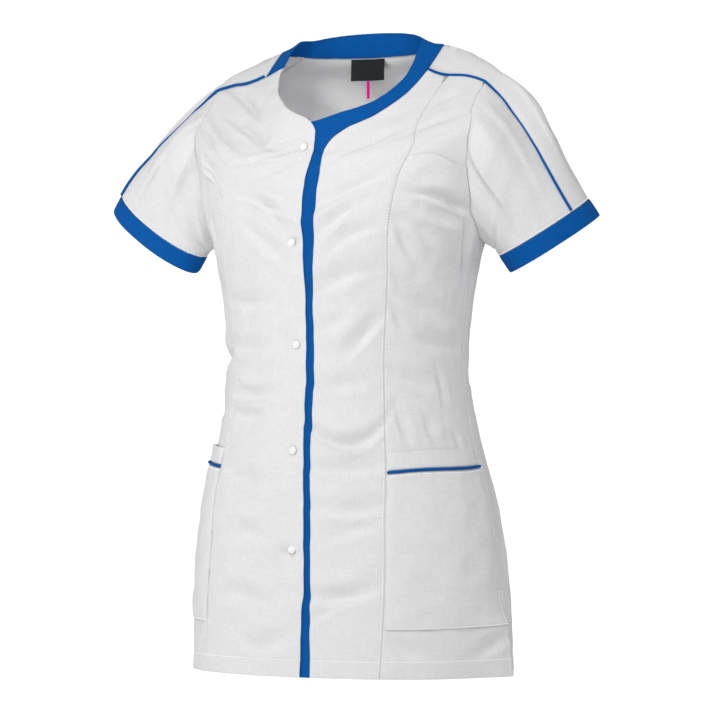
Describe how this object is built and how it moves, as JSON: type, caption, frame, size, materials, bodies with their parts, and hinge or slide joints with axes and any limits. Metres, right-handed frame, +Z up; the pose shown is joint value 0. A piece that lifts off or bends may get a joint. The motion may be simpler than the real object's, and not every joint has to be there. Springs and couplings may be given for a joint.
{
  "type": "medical tunic",
  "caption": "Women's short-sleeved medical tunic, white with blue neck band, front strip, piping and cuffs, snap front, chest and hip pockets.",
  "frame": {"origin": "on the body axis, level with the point where the shoulder piping meets the neck band, where the wearer's shoulders hold the tunic", "axes": "+Z up, the front faces -Y, +X is the wearer's left"},
  "size_m": [0.6677, 0.2918, 0.8066],
  "materials": {
    "cloth_white": "smooth white poplin",
    "trim_blue": "royal blue twill",
    "snap_pearl": "pearl white",
    "label_charcoal": "woven satin",
    "ribbon_pink": "satin ribbon"
  },
  "bodies": {
    "root": {"back": "cloth_white", "front_right": "cloth_white", "front_left": "cloth_white", "side_front_right": "cloth_white", "side_front_left": "cloth_white", "chest_left": "cloth_white", "front_band": "trim_blue", "neck_band": "trim_blue", "sleeve_front_left": "cloth_white", "sleeve_front_right": "cloth_white", "sleeve_back_left": "cloth_white", "sleeve_back_right": "cloth_white", "cuff_left": "trim_blue", "cuff_right": "trim_blue", "shoulder_piping_left": "trim_blue", "shoulder_piping_right": "trim_blue", "pocket_left": "cloth_white", "pocket_right": "cloth_white", "pocket_top_left": "cloth_white", "pocket_top_right": "cloth_white", "pocket_piping_left": "trim_blue", "pocket_piping_right": "trim_blue", "label": "label_charcoal", "label_ribbon": "ribbon_pink", "snap_1": "snap_pearl", "snap_2": "snap_pearl", "snap_3": "snap_pearl", "snap_4": "snap_pearl", "snap_5": "snap_pearl"}
  },
  "joints": []
}
